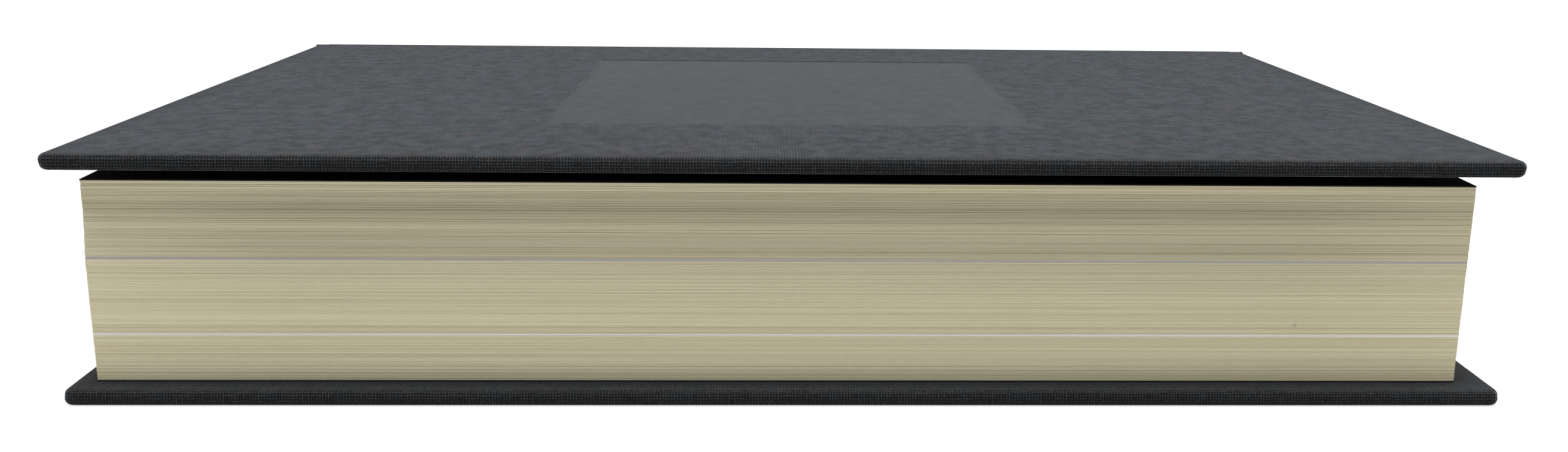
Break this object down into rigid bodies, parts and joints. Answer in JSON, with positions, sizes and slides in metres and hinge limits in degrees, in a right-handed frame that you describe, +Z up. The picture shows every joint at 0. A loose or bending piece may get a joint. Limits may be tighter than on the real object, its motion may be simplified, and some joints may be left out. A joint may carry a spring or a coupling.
{
  "type": "hardcover book",
  "caption": "Case-bound book with a square back, cloth-covered boards, grooved joints, black endpapers and covers that open on both sides.",
  "frame": {"origin": "under the middle of the closed book, on the surface that its back cover rests on", "axes": "+X along the spine towards the head, -Y towards the fore edge, +Z up through the front cover"},
  "size_m": [0.241, 0.1672, 0.0424],
  "materials": {
    "book_cloth": "matt dark grey plain-weave book cloth",
    "board": "grey millboard, pressed wood pulp",
    "endpaper": "matt black uncoated paper",
    "pages": "cream book paper, trimmed edges",
    "mull": "open starched cotton gauze",
    "lining": "brown kraft paper",
    "band": "woven cotton band with a beaded edge"
  },
  "bodies": {
    "pages": {"text_block": "pages", "mull": "mull", "spine_lining": "lining", "head_band": "band", "tail_band": "band", "spine_board": "board", "spine_cloth": "book_cloth", "back_flyleaf": "endpaper", "front_flyleaf": "endpaper"},
    "front_cover": {"front_pastedown": "endpaper", "front_board": "board", "front_cover_cloth": "book_cloth", "front_joint_cloth": "book_cloth", "front_joint_mull": "mull", "front_joint_paper": "endpaper"},
    "back_cover": {"back_pastedown": "endpaper", "back_board": "board", "back_cover_cloth": "book_cloth", "back_joint_cloth": "book_cloth", "back_joint_mull": "mull", "back_joint_paper": "endpaper"}
  },
  "joints": [
    {"name": "front_cover_hinge", "type": "hinge", "parent": "pages", "child": "front_cover", "pos_m": [0, 0.08017, 0.03735], "axis": [-1, 0, 0], "range_deg": [0, 180], "deforming": ["front_joint_cloth", "front_joint_mull", "front_joint_paper"]},
    {"name": "back_cover_hinge", "type": "hinge", "parent": "pages", "child": "back_cover", "pos_m": [0, 0.08017, 0.00285], "axis": [1, 0, 0], "range_deg": [0, 180], "deforming": ["back_joint_cloth", "back_joint_mull", "back_joint_paper"]}
  ]
}
